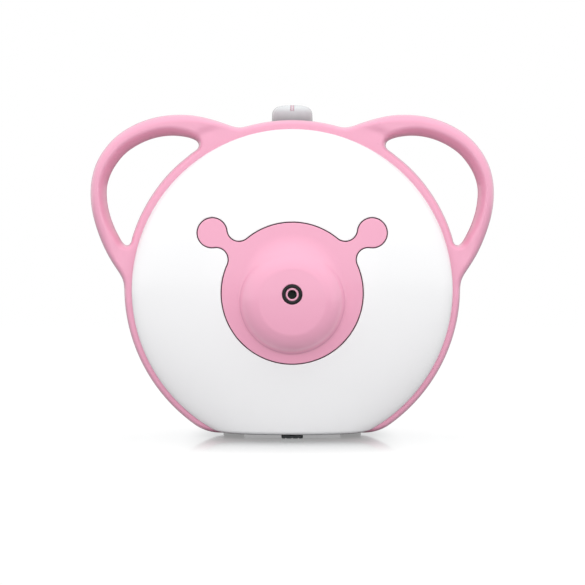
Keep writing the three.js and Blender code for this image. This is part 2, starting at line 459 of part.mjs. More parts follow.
// ---- pump: base plate, rubber mounts, motor, crank, rod, diaphragm and head ----
const axis = [MOTOR.y, MOTOR.z];
const mountAt = [[-44, -1], [-44, 16], [18, -1], [18, 16]];
{
  let plateBody = box(-54, 26, -12, 36, -81, -79);
  for (const [x, y] of mountAt) plateBody = cut(plateBody, cylinder("z", 2.6, -90, -70, [x, y], 12));
  node("pump_base_plate", plateBody, steel);
  mountAt.forEach(([x, y], i) => node("rubber_mount_" + (i + 1), turned("z", [[0, -95.9], [5.5, -95.9], [4.4, -88.6], [5.5, -81.3], [2.3, -81.3], [2.3, -78.7], [3.4, -78.5], [2.2, -76.2], [0, -76.2]], [x, y], 10), black));
}
{
  // can: a deep-drawn cup, closed at the fan end
  let can = cylinder("x", MOTOR.r, MOTOR.x0, MOTOR.x1, axis, 36);
  can = cut(can, cylinder("x", 18.6, MOTOR.x0 + 3, MOTOR.x1 + 1, axis, 36), cylinder("x", 6.2, MOTOR.x0 - 1, MOTOR.x0 + 4, axis, 20));
  node("motor_can", can, steel);
  node("motor_magnets", cut(cylinder("x", 18.2, -49, -17, axis, 28), cylinder("x", 13.4, -70, -10, axis, 28)), greyPlastic);
  const bearing = (name, x0, x1, r) => node(name, cut(cylinder("x", r, x0, x1, axis, 20), cylinder("x", 2.9, x0 - 1, x1 + 1, axis, 16)), brass);
  bearing("bearing_fan_end", MOTOR.x0, MOTOR.x0 + 3, 5.9);
  bearing("bearing_drive_end", -10.7, -7.4, 7.6);
  node("motor_shaft", cylinder("x", 2.5, -66, 2.6, axis, 14), steel);
  node("armature", cut(cylinder("x", 12.6, -45, -21, axis, 24), cylinder("x", 2.9, -70, 0, axis, 14)), copper);
  const blades = Array.from({ length: 6 }, (_, i) => solid(new THREE.BoxGeometry(5, 12.4, 1.3).translate(0, 10.4, 0).rotateX((i * Math.PI) / 3).translate(-62.9, MOTOR.y, MOTOR.z)));
  node("cooling_fan", cut(join(cylinder("x", 5.4, -65.5, -60.1, axis, 16), ...blades), cylinder("x", 2.9, -80, -50, axis, 14)), darkPlastic);
  const saddle = cut(box(-38, -22, MOTOR.y - 13, MOTOR.y + 13, -78.7, -64), cylinder("x", MOTOR.r + 0.3, -60, -20, axis, 36));
  node("motor_saddle", saddle, greyPlastic);
}
{
  const c = CASE;
  let body = cut(box(c.x0, c.x1, c.y0, c.y1, c.z0, c.z1), box(c.x0 + 4, c.x1 + 5, c.y0 + 5, c.y1 - 5, c.z0 + 5, c.z1 - 4), cylinder("z", 13, -40, 0, [7, 12], 28), cylinder("x", 8, -20, 0, axis, 24));
  for (const [x, y] of headScrews()) body = cut(body, cylinder("z", 2.0, -24, 0, [x, y], 10));
  node("crankcase", cut(body, box(13.6, 30, -5.4, 3.4, -80, -70), box(13.6, 30, 11.6, 20.4, -80, -70)), castAlu);
}
function headScrews() {
  return [[-7.4, -8.4], [21.4, -8.4], [-7.4, 32.4], [21.4, 32.4]];
}
{
  const pin = [MOTOR.y, MOTOR.z + THROW];
  let crank = join(cylinder("x", 8.5, -4, 4, axis, 24), cylinder("x", 2.8, 3, 13, pin, 16));
  crank = join(crank, common(cylinder("x", 12.5, -4, 1, axis, 24), box(-10, 5, -10, 40, -80, MOTOR.z - 3)));
  node("crank", cut(crank, cylinder("x", 2.8, -10, 2.9, axis, 14)), steel);
  const [x0, x1] = [ROD_X[0], ROD_X[1]];
  let rod = join(cylinder("x", 6.4, x0, x1, pin, 20), box(x0 + 0.4, x1 - 0.4, 9.2, 14.8, pin[1] + 4, -20), cylinder("z", 7.6, -20.6, -17.2, [8.5, 12], 20));
  rod = cut(rod, cylinder("x", 3.2, 0, 20, pin, 16));
  node("connecting_rod", rod, darkPlastic);
}
{
  const c = CASE, at = [7, 12];
  node("diaphragm", turned("z", [[0, -16.9], [8, -16.9], [9.6, -15.4], [11.6, -14.4], [12.2, -13.7], [17, -13.7], [17, -11.8], [11.6, -11.8], [8, -13.4], [0, -13.4]], at, 20), black);
  let valve = box(c.x0, c.x1, c.y0, c.y1, -11.5, -8);
  let head = box(c.x0, c.x1, c.y0, c.y1, -7.7, 4);
  for (const y of [3, 21]) {
    valve = cut(valve, cylinder("z", 2.4, -20, 0, [7, y], 12));
    head = cut(head, cylinder("z", 6.5, -10, -1.5, [7, y], 18));
  }
  for (const [x, y] of headScrews()) {
    valve = cut(valve, cylinder("z", 2.0, -20, 0, [x, y], 10));
    head = cut(head, cylinder("z", 2.0, -20, 10, [x, y], 10));
  }
  node("valve_plate", valve, castAlu);
  // outlet barb to the right, intake barb on top
  head = join(head, cylinder("x", 2.3, 20, 35, [3, -2.6], 10), cylinder("z", 2.2, 2, 11.5, [7, 21], 10));
  head = cut(head, cylinder("x", 1.4, 6, 40, [3, -2.6], 8), cylinder("z", 1.4, -3, 20, [7, 21], 8));
  node("pump_head", head, darkPlastic);
  node("intake_valve", cylinder("z", 4.6, -7.5, -6.6, [7, 21], 14), silicone);
  node("outlet_valve", cylinder("z", 4.6, -7.5, -6.6, [7, 3], 14), silicone);
  headScrews().forEach(([x, y], i) => node("head_screw_" + (i + 1), turned("z", [[0, -22], [1.6, -22], [1.6, 4.3], [3.2, 4.3], [3.2, 6.2], [2.6, 7], [0, 7]], [x, y], 12), zinc));
}

// ---- inner hoses and leads ----
node("outlet_hose", along([[27, 3, -2.6], [36, 3, -2.6], [47, -1, -3], [52, -12, -3.5], [48, -25, -4], [36, -33.5, -4.4], [24, -36, -4.5], [6.5, -36, -4.5]], 4.2, 15, 8, 2.95), silicone);
node("intake_hose", along([[7, 21, 4.6], [7, 21, 14], [6, 22.5, 23], [5, 28, 28.8], [9, 34.6, 30], [14.5, 36.8, 30], [25, 36.8, 30]], 4.2, 10, 8, 2.7), silicone);
node("mains_lead_live", along([[54.3, 23.4, -55], [54.3, 19, -54], [52, 14, -44], [44, 14, -16], [34, 22, 12], [12, 28, 44], [-8, 32.5, 49], [-22, 34.4, 44.6]], 1.1, 16, 5), brown);
node("mains_lead_neutral", along([[45.7, 23.4, -55], [45.7, 18, -54], [44, 12, -46], [38, 11, -18], [28, 18, 12], [8, 25, 40], [-14, 30, 43], [-25, 34.4, 38]], 1.1, 16, 5), blue);
node("dial_lead", along([[-18, 20, 82.3], [-19, 20, 77], [-26, 26, 66], [-34, 31.4, 56], [-36, 34, 46]], 1.8, 8, 6), darkPlastic);
node("motor_lead", along([[-57, 34.4, 4], [-58, 32, -1], [-56, 27, -9], [-50, 20, -19], [-47, 14.5, -27.4]], 1.6, 8, 6), darkPlastic);

// ---- power supply board ----
{
  let pcb = box(-75, -11, 36.7, 38.0, -4, 48);
  for (const [x, z] of [[-70, 2], [-70, 42], [-16, 2], [-16, 42]]) pcb = cut(pcb, cylinder("y", 1.4, 30, 50, [x, z], 10));
  node("power_board", pcb, board);
  node("transformer", join(box(-56, -30, 17, 36.5, 12, 34), box(-52, -34, 14.6, 36.5, 15.4, 30.6)), darkPlastic);
  node("capacitor", cylinder("y", 7.5, 14, 36.5, [-40, 1.5], 20), blue);
}

export default group;
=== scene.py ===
import json
import math

import bpy
import numpy as np
import openvdb as vdb
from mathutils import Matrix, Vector


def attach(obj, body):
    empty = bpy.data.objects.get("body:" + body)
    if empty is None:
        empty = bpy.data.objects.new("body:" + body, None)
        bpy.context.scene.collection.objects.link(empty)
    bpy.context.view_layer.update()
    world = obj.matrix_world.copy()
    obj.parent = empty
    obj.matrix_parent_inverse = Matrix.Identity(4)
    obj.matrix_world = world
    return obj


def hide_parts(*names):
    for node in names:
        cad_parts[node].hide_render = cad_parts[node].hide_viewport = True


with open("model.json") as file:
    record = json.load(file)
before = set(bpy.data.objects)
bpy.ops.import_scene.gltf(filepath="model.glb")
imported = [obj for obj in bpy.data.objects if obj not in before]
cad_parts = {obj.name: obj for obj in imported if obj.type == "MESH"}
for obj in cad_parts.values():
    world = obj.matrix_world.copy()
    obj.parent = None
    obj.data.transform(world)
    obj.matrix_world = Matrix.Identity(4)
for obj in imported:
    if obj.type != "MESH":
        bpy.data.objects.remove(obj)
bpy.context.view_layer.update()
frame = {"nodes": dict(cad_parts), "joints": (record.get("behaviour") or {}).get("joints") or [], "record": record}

# The casing is drawn in millimetres about the ring's centre: x right, y back from the parting plane, z up.
dial_joint = next(j for j in frame["joints"] if j["name"] == "dial_turn")
CX, CY, CZ = 0.0, dial_joint["pos_m"][1] * 1000 - 17.0, dial_joint["pos_m"][2] * 1000 - 116.6
ORIGIN = np.array([CX, CY, CZ])

RING_R = 114.75
BASE = -99.0
EDGE_T, EDGE_S, GRIP_S, EAR_S = 13.0, 4.6, 5.2, 7.5
DOME_R, DOME_Y, DOME_H, DOME_Z = 108.6, -13.4, 30.6, -1.2
BACK_Y, BACK_R, BACK_N = 48.0, 68.0, 3.0
PLATE_Z, PLATE_R = -3.7, 46.4
LOBE_X, LOBE_Z, LOBE_R, LOBE_FILLET = 52.9, 39.9, 9.7, 8.4
SNOUT_Z, SNOUT_R, SNOUT_Y = -8.8, 35.2, -57.4
PORT_Z = -4.5
DIAL_Y, DIAL_R, DIAL_TOP, DIAL_BOTTOM, DIAL_MARK = 17.0, 14.4, 126.4, 108.8, 121.6
SCREWS = [(96 * math.cos(math.radians(a)), 96 * math.sin(math.radians(a))) for a in (40, 140, 220, 320)]

# ------------------------------------------------------------------ camera and studio
cam_data = bpy.data.cameras.new("camera")
cam_data.sensor_width = 36.0
cam_data.lens = 89.83
camera = bpy.data.objects.new("camera", cam_data)
camera.location = (0.0002, -0.995, 0.0978)
camera.rotation_euler = (math.pi / 2, 0, 0)
bpy.context.scene.collection.objects.link(camera)
bpy.context.scene.camera = camera
bpy.context.scene.view_settings.view_transform = "Standard"
bpy.context.scene.view_settings.look = "None"


def srgb(r, g, b):
    def lin(c):
        c /= 255.0
        return c / 12.92 if c <= 0.04045 else ((c + 0.055) / 1.055) ** 2.4

    return (lin(r), lin(g), lin(b), 1.0)


class Nodes:
    """A short way to write a node tree."""

    def __init__(self, tree):
        self.t = tree

    def new(self, kind, inputs=(), **settings):
        n = self.t.nodes.new(kind)
        for k, v in settings.items():
            setattr(n, k, v)
        for k, v in dict(inputs).items():
            if isinstance(v, tuple) and len(v) == 2 and hasattr(v[0], "outputs"):
                self.t.links.new(v[0].outputs[v[1]], n.inputs[k])
            else:
                n.inputs[k].default_value = v
        return n


world = bpy.data.worlds.new("studio")
bpy.context.scene.world = world
world.use_nodes = True
w = Nodes(world.node_tree)
world.node_tree.nodes.clear()
coord = w.new("ShaderNodeTexCoord")
sep = w.new("ShaderNodeSeparateXYZ", {"Vector": (coord, "Generated")})
ramp = w.new("ShaderNodeValToRGB", {"Fac": (w.new("ShaderNodeMapRange", {"Value": (sep, "Z"), "From Min": -1.0, "From Max": 1.0}), "Result")})
for stop, (pos, v) in enumerate([(0.0, 0.22), (0.46, 0.32), (0.513, 0.36), (0.523, 0.76), (0.62, 0.79), (0.86, 0.92)]):
    e = ramp.color_ramp.elements[stop] if stop < 2 else ramp.color_ramp.elements.new(pos)
    e.position, e.color = pos, (v, v, v * 1.01, 1)
behind = w.new("ShaderNodeMapRange", {"Value": (sep, "Y"), "From Min": -0.05, "From Max": 0.55, "To Min": 0.0, "To Max": 0.9}, interpolation_type="SMOOTHSTEP")
backdrop = w.new("ShaderNodeMix", {"Factor": (behind, "Result")}, data_type="RGBA")
w.t.links.new(ramp.outputs["Color"], backdrop.inputs["A"])
backdrop.inputs["B"].default_value = (0.86, 0.86, 0.86, 1.0)
# a small dark card right behind, open where the floor mirrors the backdrop
card = w.new("ShaderNodeMapRange", {"Value": (sep, "Y"), "From Min": 0.88, "From Max": 0.96, "To Min": 0.0, "To Max": 0.95}, interpolation_type="SMOOTHSTEP")
low = w.new("ShaderNodeMapRange", {"Value": (sep, "Z"), "From Min": -0.03, "From Max": 0.02, "To Min": 0.0, "To Max": 1.0})
wide = w.new("ShaderNodeMapRange", {"Value": (w.new("ShaderNodeMath", {0: (sep, "X")}, operation="ABSOLUTE"), "Value"), "From Min": 0.10, "From Max": 0.14, "To Min": 1.0, "To Max": 0.0})
gap = w.new("ShaderNodeMath", {0: (low, "Result"), 1: (wide, "Result")}, operation="MULTIPLY")
kept = w.new("ShaderNodeMath", {0: 1.0, 1: (gap, "Value")}, operation="SUBTRACT")
amount = w.new("ShaderNodeMath", {0: (card, "Result"), 1: (kept, "Value")}, operation="MULTIPLY")
carded = w.new("ShaderNodeMix", {"Factor": (amount, "Value"), "A": (backdrop, "Result")}, data_type="RGBA")
carded.inputs["B"].default_value = (0.06, 0.06, 0.06, 1.0)
rays = w.new("ShaderNodeLightPath")
seen = w.new("ShaderNodeMix", {"Factor": (rays, "Is Camera Ray")}, data_type="RGBA")
w.t.links.new(carded.outputs["Result"], seen.inputs["A"])
seen.inputs["B"].default_value = (1.0, 1.0, 1.0, 1.0)
bg = w.new("ShaderNodeBackground", {"Color": (seen, "Result"), "Strength": 1.0})
w.new("ShaderNodeOutputWorld", {"Surface": (bg, "Background")})


def area(name, at, to, size, power, glossy):
    light = bpy.data.lights.new(name, "AREA")
    light.shape = "RECTANGLE"
    light.size, light.size_y = size
    light.energy = power
    o = bpy.data.objects.new(name, light)
    o.location = at
    o.rotation_euler = (Vector(to) - Vector(at)).to_track_quat("-Z", "Y").to_euler()
    o.visible_glossy = glossy
    bpy.context.scene.collection.objects.link(o)
    return o


area("key_top", (0.0, -0.35, 1.25), (0, 0, 0.1), (1.4, 0.8), 3.7, False)
area("fill_front", (0.0, -1.7, 0.26), (0, 0, 0.09), (1.6, 0.5), 10.4, False)
for s in (-1, 1):
    area("side_%s" % ("left" if s < 0 else "right"), (s * 1.15, -0.25, 0.15), (0, 0, 0.11), (0.5, 0.4), 2.0, False)


def floor():
    """A white sweep, a little glossy round the object's foot; to the camera it glows white, with a painted shadow in
    that glow where the object comes near it.
    """
    bpy.ops.mesh.primitive_plane_add(size=6, location=(0, 0, -0.0002))
    o = bpy.context.object
    o.name = "floor"
    m = bpy.data.materials.new("floor")
    m.use_nodes = True
    m.node_tree.nodes.clear()
    n = Nodes(m.node_tree)
    at = n.new("ShaderNodeTexCoord")
    squash = n.new("ShaderNodeMapping", {"Vector": (at, "Object"), "Scale": (0.9, 1.0, 1.0)})
    far = n.new("ShaderNodeVectorMath", {0: (squash, "Vector")}, operation="LENGTH")
    near = n.new("ShaderNodeMapRange", {"Value": (far, "Value"), "From Min": 0.03, "From Max": 0.125, "To Min": 0.52, "To Max": 0.0}, interpolation_type="SMOOTHSTEP")
    paint = n.new("ShaderNodeTexNoise", {"Vector": (at, "Object"), "Scale": 3.0, "Detail": 2.0})
    rough = n.new("ShaderNodeMapRange", {"Value": (paint, "Fac"), "To Min": 0.07, "To Max": 0.10})
    gloss = n.new("ShaderNodeBsdfGlossy", {"Color": (0.95, 0.96, 0.97, 1), "Roughness": (rough, "Result")})
    diffuse = n.new("ShaderNodeBsdfDiffuse", {"Color": (0.30, 0.30, 0.31, 1)})
    # painted contact shadow: the glow the camera sees is dimmed by an ambient-occlusion mask near the object, and kept
    # at full strength beyond |x| 76 mm
    hidden = n.new("ShaderNodeAmbientOcclusion", {"Distance": 0.09}, samples=8)
    open_ = n.new("ShaderNodeMapRange", {"Value": (hidden, "AO"), "From Min": 0.08, "From Max": 0.99, "To Min": 0.56, "To Max": 1.03})
    part = n.new("ShaderNodeSeparateXYZ", {"Vector": (at, "Object")})
    aside = n.new("ShaderNodeMath", {0: (part, "X")}, operation="ABSOLUTE")
    beside = n.new("ShaderNodeMapRange", {"Value": (aside, "Value"), "From Min": 0.048, "From Max": 0.076, "To Min": 0.0, "To Max": 1.0}, interpolation_type="SMOOTHSTEP")
    lit = n.new("ShaderNodeMix", {"Factor": (beside, "Result"), "A": (open_, "Result"), "B": 1.03})
    light = n.new("ShaderNodeEmission", {"Color": (1, 1, 1, 1), "Strength": (lit, "Result")})
    path = n.new("ShaderNodeLightPath")
    base = n.new("ShaderNodeMixShader", {"Fac": (path, "Is Camera Ray"), 1: (diffuse, 0), 2: (light, 0)})
    mix = n.new("ShaderNodeMixShader", {"Fac": (near, "Result"), 1: (base, 0), 2: (gloss, 0)})
    n.new("ShaderNodeOutputMaterial", {"Surface": (mix, 0)})
    o.data.materials.append(m)


floor()


# ------------------------------------------------------------------ materials
def moulded(name, colour, rough=0.25, spread=0.05, tint=0.03, grain=0.0, grain_scale=900.0, coat=0.0, coat_rough=0.05, metallic=0.0, sss=0.0, wave=0.012):
    """Injection-moulded plastic, rubber or metal: a slow colour drift, uneven gloss, a faint mould texture and a fine surface grain."""
    m = bpy.data.materials.new(name)
    m.use_nodes = True
    m.node_tree.nodes.clear()
    n = Nodes(m.node_tree)
    at = n.new("ShaderNodeTexCoord")
    cloud = n.new("ShaderNodeTexNoise", {"Vector": (at, "Object"), "Scale": 14.0, "Detail": 3.0, "Roughness": 0.5})
    lo, hi = tuple(c * (1 - tint) for c in colour[:3]) + (1,), tuple(min(1.0, c * (1 + tint)) for c in colour[:3]) + (1,)
    tone = n.new("ShaderNodeMix", {"Factor": (cloud, "Fac")}, data_type="RGBA")
    tone.inputs["A"].default_value, tone.inputs["B"].default_value = lo, hi
    smear = n.new("ShaderNodeTexNoise", {"Vector": (at, "Object"), "Scale": 55.0, "Detail": 5.0, "Roughness": 0.6})
    gloss = n.new("ShaderNodeMapRange", {"Value": (smear, "Fac"), "From Min": 0.3, "From Max": 0.7, "To Min": max(0.02, rough - spread), "To Max": rough + spread})
    ripple = n.new("ShaderNodeTexNoise", {"Vector": (at, "Object"), "Scale": 140.0, "Detail": 1.0})
    bump = n.new("ShaderNodeBump", {"Height": (ripple, "Fac"), "Strength": wave, "Distance": 0.001})
    last = bump
    if grain:
        fine = n.new("ShaderNodeTexNoise", {"Vector": (at, "Object"), "Scale": grain_scale, "Detail": 2.0, "Roughness": 0.7})
        last = n.new("ShaderNodeBump", {"Height": (fine, "Fac"), "Strength": grain, "Distance": 0.0003, "Normal": (bump, "Normal")})
    b = n.new(
        "ShaderNodeBsdfPrincipled",
        {"Base Color": (tone, "Result"), "Roughness": (gloss, "Result"), "Normal": (last, "Normal"), "Metallic": metallic, "Coat Weight": coat, "Coat Roughness": coat_rough, "Subsurface Weight": sss, "Subsurface Scale": 0.004},
    )
    n.new("ShaderNodeOutputMaterial", {"Surface": (b, "BSDF")})
    return m


def metal(name, colour, rough=0.3, axis="X", streak=0.06):
    """Drawn, turned or plated metal: streaks of gloss and colour along its working direction."""
    m = bpy.data.materials.new(name)
    m.use_nodes = True
    m.node_tree.nodes.clear()
    n = Nodes(m.node_tree)
    at = n.new("ShaderNodeTexCoord")
    long = {"X": (0.04, 1, 1), "Y": (1, 0.04, 1), "Z": (1, 1, 0.04)}[axis]
    squeeze = n.new("ShaderNodeMapping", {"Vector": (at, "Object"), "Scale": long})
    lines = n.new("ShaderNodeTexNoise", {"Vector": (squeeze, "Vector"), "Scale": 1600.0, "Detail": 3.0})
    blot = n.new("ShaderNodeTexNoise", {"Vector": (at, "Object"), "Scale": 70.0, "Detail": 4.0})
    tone = n.new("ShaderNodeMix", {"Factor": (blot, "Fac")}, data_type="RGBA")
    tone.inputs["A"].default_value = tuple(c * 0.82 for c in colour[:3]) + (1,)
    tone.inputs["B"].default_value = tuple(min(1, c * 1.06) for c in colour[:3]) + (1,)
    gloss = n.new("ShaderNodeMapRange", {"Value": (lines, "Fac"), "From Min": 0.3, "From Max": 0.7, "To Min": rough - streak, "To Max": rough + streak})
    bump = n.new("ShaderNodeBump", {"Height": (lines, "Fac"), "Strength": 0.12, "Distance": 0.0002})
    b = n.new("ShaderNodeBsdfPrincipled", {"Base Color": (tone, "Result"), "Roughness": (gloss, "Result"), "Normal": (bump, "Normal"), "Metallic": 1.0})
    n.new("ShaderNodeOutputMaterial", {"Surface": (b, "BSDF")})
    return m


def patterned(name, low, high, scale, kind="noise", rough=0.8, bump_by=0.5, distance=0.0006):
    """Felt, windings and board: two colours over a fibrous, wound or laminated pattern."""
    m = bpy.data.materials.new(name)
    m.use_nodes = True
    m.node_tree.nodes.clear()
    n = Nodes(m.node_tree)
    at = n.new("ShaderNodeTexCoord")
    if kind == "bands":
        tex = n.new("ShaderNodeTexWave", {"Vector": (at, "Object"), "Scale": scale, "Distortion": 0.3, "Detail": 1.0}, bands_direction="X")
    else:
        tex = n.new("ShaderNodeTexNoise", {"Vector": (at, "Object"), "Scale": scale, "Detail": 6.0, "Roughness": 0.75})
    tone = n.new("ShaderNodeMix", {"Factor": (tex, "Fac")}, data_type="RGBA")
    tone.inputs["A"].default_value, tone.inputs["B"].default_value = low, high
    spots = n.new("ShaderNodeTexNoise", {"Vector": (at, "Object"), "Scale": 60.0, "Detail": 2.0})
    gloss = n.new("ShaderNodeMapRange", {"Value": (spots, "Fac"), "To Min": rough - 0.08, "To Max": rough + 0.08})
    bump = n.new("ShaderNodeBump", {"Height": (tex, "Fac"), "Strength": bump_by, "Distance": distance})
    b = n.new("ShaderNodeBsdfPrincipled", {"Base Color": (tone, "Result"), "Roughness": (gloss, "Result"), "Normal": (bump, "Normal")})
    n.new("ShaderNodeOutputMaterial", {"Surface": (b, "BSDF")})
    return m


PINK = srgb(241, 170, 196)
MAT = {
    "shell_white": moulded("gloss_white", srgb(249, 249, 249), rough=0.16, spread=0.03, tint=0.006, coat=0.6, coat_rough=0.03, wave=0.006),
    "casing_pink": moulded("satin_pink", PINK, rough=0.30, spread=0.03, tint=0.012, coat=0.5, coat_rough=0.12, wave=0.006),
    "plate_pink": moulded("gloss_pink", PINK, rough=0.22, spread=0.03, tint=0.012, coat=0.8, coat_rough=0.03, wave=0.004),
    "dial_grey": moulded("dial_grey", srgb(172, 176, 177), rough=0.22, spread=0.04, tint=0.01, coat=0.8, coat_rough=0.06, wave=0.006),
    "cap_grey": moulded("cap_grey", srgb(217, 220, 221), rough=0.22, spread=0.04, tint=0.01, coat=0.8, coat_rough=0.06, wave=0.006),
    "rubber_black": moulded("black_rubber", srgb(46, 48, 50), rough=0.55, spread=0.08, tint=0.10, grain=0.25, grain_scale=1500, wave=0.03),
    "port_black": moulded("port_black", srgb(22, 23, 25), rough=0.40, spread=0.06, tint=0.10, grain=0.2, grain_scale=1500, wave=0.03),
    "seal_dark": moulded("seal_dark", srgb(40, 24, 30), rough=0.60, spread=0.06, tint=0.10, grain=0.2, grain_scale=1500, wave=0.03),
    "bore_grey": moulded("bore_grey", srgb(126, 142, 137), rough=0.45, spread=0.06, tint=0.05, wave=0.02),
    "plastic_black": moulded("black_plastic", srgb(38, 39, 42), rough=0.42, spread=0.08, tint=0.08, grain=0.3, grain_scale=1800, wave=0.03),
    "plastic_grey": moulded("grey_plastic", srgb(148, 152, 156), rough=0.48, spread=0.07, tint=0.03, grain=0.2, grain_scale=1600, wave=0.03),
    "silicone": moulded("silicone", srgb(226, 229, 226), rough=0.35, spread=0.08, tint=0.02, sss=0.3, wave=0.05),
    "steel": metal("drawn_steel", (0.58, 0.59, 0.61), 0.30, "X"),
    "zinc": metal("zinc_plate", (0.60, 0.62, 0.64), 0.30, "Y"),
    "brass": metal("brass", (0.76, 0.55, 0.22), 0.28, "Y"),
    "cast_alloy": moulded("cast_alloy", (0.52, 0.53, 0.54, 1), rough=0.52, spread=0.1, tint=0.08, grain=0.6, grain_scale=700, metallic=1.0, wave=0.06),
    "core_iron": patterned("laminations", (0.02, 0.02, 0.022, 1), (0.10, 0.095, 0.09, 1), 500, "bands", 0.45, 0.5),
    "winding": patterned("winding", (0.20, 0.06, 0.02, 1), (0.55, 0.22, 0.07, 1), 420, "bands", 0.3, 0.8),
    "felt": patterned("felt", (0.62, 0.60, 0.54, 1), (0.92, 0.90, 0.84, 1), 900, "noise", 0.88, 1.0, 0.0008),
    "board_green": patterned("solder_mask", (0.010, 0.06, 0.028, 1), (0.022, 0.13, 0.06, 1), 90, "noise", 0.35, 0.05),
    "wire_blue": moulded("wire_blue", srgb(42, 86, 168), rough=0.40, spread=0.08, tint=0.06, wave=0.05),
    "wire_brown": moulded("wire_brown", srgb(104, 62, 38), rough=0.40, spread=0.08, tint=0.06, wave=0.05),
    "pointer_pink": moulded("pointer_pink", srgb(222, 176, 190), rough=0.35, spread=0.04, tint=0.02),
}


def paint_shade_toward_foot(m, low, high, dark):
    """Paints shade into a material toward the foot of a piece: its colour is multiplied by `dark` at the height `low`,
    unchanged from `high` up, in millimetres.
    """
    n = Nodes(m.node_tree)
    shader = next(k for k in m.node_tree.nodes if k.type == "BSDF_PRINCIPLED")
    tone = shader.inputs["Base Color"].links[0].from_node
    part = n.new("ShaderNodeSeparateXYZ", {"Vector": (n.new("ShaderNodeTexCoord"), "Object")})
    up = n.new("ShaderNodeMapRange", {"Value": (part, "Z"), "From Min": low / 1000, "From Max": high / 1000, "To Min": dark, "To Max": 1.0})
    shaded_tone = n.new("ShaderNodeMix", {"Factor": 1.0}, data_type="RGBA", blend_type="MULTIPLY")
    m.node_tree.links.new(tone.outputs["Result"], shaded_tone.inputs["A"])
    m.node_tree.links.new(up.outputs["Result"], shaded_tone.inputs["B"])
    m.node_tree.links.new(shaded_tone.outputs["Result"], shader.inputs["Base Color"])


# painted shade: the dial cap's colour darkens toward its foot, standing in for the shading on its lower side
paint_shade_toward_foot(MAT["cap_grey"], CZ + 115.5, CZ + 124.0, 0.44)


# ------------------------------------------------------------------ implicit surfaces
def smin(a, b, k):
    h = np.clip(0.5 + 0.5 * (b - a) / k, 0, 1)
    return b + (a - b) * h - k * h * (1 - h)


def smax(a, b, k):
    return -smin(-a, -b, k)


def step(a, b, v):
    t = np.clip((v - a) / (b - a), 0, 1)
    return t * t * (3 - 2 * t)


class Field:
    """Signed distance to a closed outline in the x-z plane, read smoothly from a grid. side: the outline is read at |x|."""

    def __init__(self, outline, lo, hi, h, side=True):
        p = np.asarray(outline, float)
        self.lo, self.h, self.side = np.array(lo, float), h, side
        self.n = np.ceil((np.array(hi) - self.lo) / h).astype(int) + 1
        xs = self.lo[0] + h * np.arange(self.n[0])
        zs = self.lo[1] + h * np.arange(self.n[1])
        a, b = p, np.roll(p, -1, 0)
        e = b - a
        ee = (e * e).sum(1)
        g = np.empty(self.n)
        for i, x in enumerate(xs):
            px, pz = x - a[:, 0], zs[:, None] - a[None, :, 1]
            t = np.clip((px * e[:, 0] + pz * e[:, 1]) / ee, 0, 1)
            d = np.sqrt(((px - t * e[:, 0]) ** 2 + (pz - t * e[:, 1]) ** 2).min(1))
            up = (a[:, 1] <= zs[:, None]) != (b[:, 1] <= zs[:, None])
            cross = a[:, 0] + pz / np.where(e[:, 1] == 0, 1e-12, e[:, 1]) * e[:, 0]
            g[i] = np.where((up & (cross > x)).sum(1) % 2 == 1, -d, d)
        self.g = g

    def __call__(self, x, z):
        if self.side:
            x = np.abs(x)
        x, z = np.broadcast_arrays(x, z)
        top = self.lo + self.h * (self.n - 3.001)
        cx, cz = np.clip(x, self.lo[0] + self.h, top[0]), np.clip(z, self.lo[1] + self.h, top[1])
        u, v = (cx - self.lo[0]) / self.h, (cz - self.lo[1]) / self.h
        iu, iv = np.floor(u).astype(int), np.floor(v).astype(int)
        fu, fv = u - iu, v - iv

        def weights(f):
            return (-0.5 * f + f * f - 0.5 * f**3, 1 - 2.5 * f * f + 1.5 * f**3, 0.5 * f + 2 * f * f - 1.5 * f**3, -0.5 * f * f + 0.5 * f**3)

        wu, wv = weights(fu), weights(fv)
        out = 0
        for i in range(4):
            row = 0
            for j in range(4):
                row = row + wv[j] * self.g[iu + i - 1, iv + j - 1]
            out = out + wu[i] * row
        return out + np.hypot(x - cx, z - cz)


def closed_curve(points, gap=0.8, smooth=0):
    """A dense closed Catmull-Rom curve through points, resampled evenly."""
    p = np.asarray(points, float)
    n = len(p)
    out = []
    for i in range(n):
        a, b, c, d = p[i - 1], p[i], p[(i + 1) % n], p[(i + 2) % n]
        m = max(2, int(np.linalg.norm(c - b) / 0.25))
        t = (np.arange(m) / m)[:, None]
        la, lb, lc = (max(1e-6, np.linalg.norm(q - r)) ** 0.5 for q, r in ((b, a), (c, b), (d, c)))
        m1 = (c - b + lb * ((b - a) / la - (c - a) / (la + lb)))
        m2 = (c - b + lb * ((d - c) / lc - (d - b) / (lb + lc)))
        out.append((2 * t**3 - 3 * t**2 + 1) * b + (t**3 - 2 * t**2 + t) * m1 + (-2 * t**3 + 3 * t**2) * c + (t**3 - t**2) * m2)
    q = np.vstack(out)
    for _ in range(smooth):
        q = 0.5 * q + 0.25 * (np.roll(q, 1, 0) + np.roll(q, -1, 0))
    s = np.concatenate([[0], np.cumsum(np.linalg.norm(np.diff(np.vstack([q, q[:1]]), axis=0), axis=1))])
    k = int(s[-1] / gap)
    at = np.arange(k) * s[-1] / k
    q = np.vstack([q, q[:1]])
    return np.stack([np.interp(at, s, q[:, 0]), np.interp(at, s, q[:, 1])], 1)


def arc(cx, cz, r, a0, a1, n):
    a = np.radians(np.linspace(a0, a1, n + 1))
    return np.stack([cx + r * np.cos(a), cz + r * np.sin(a)], 1)


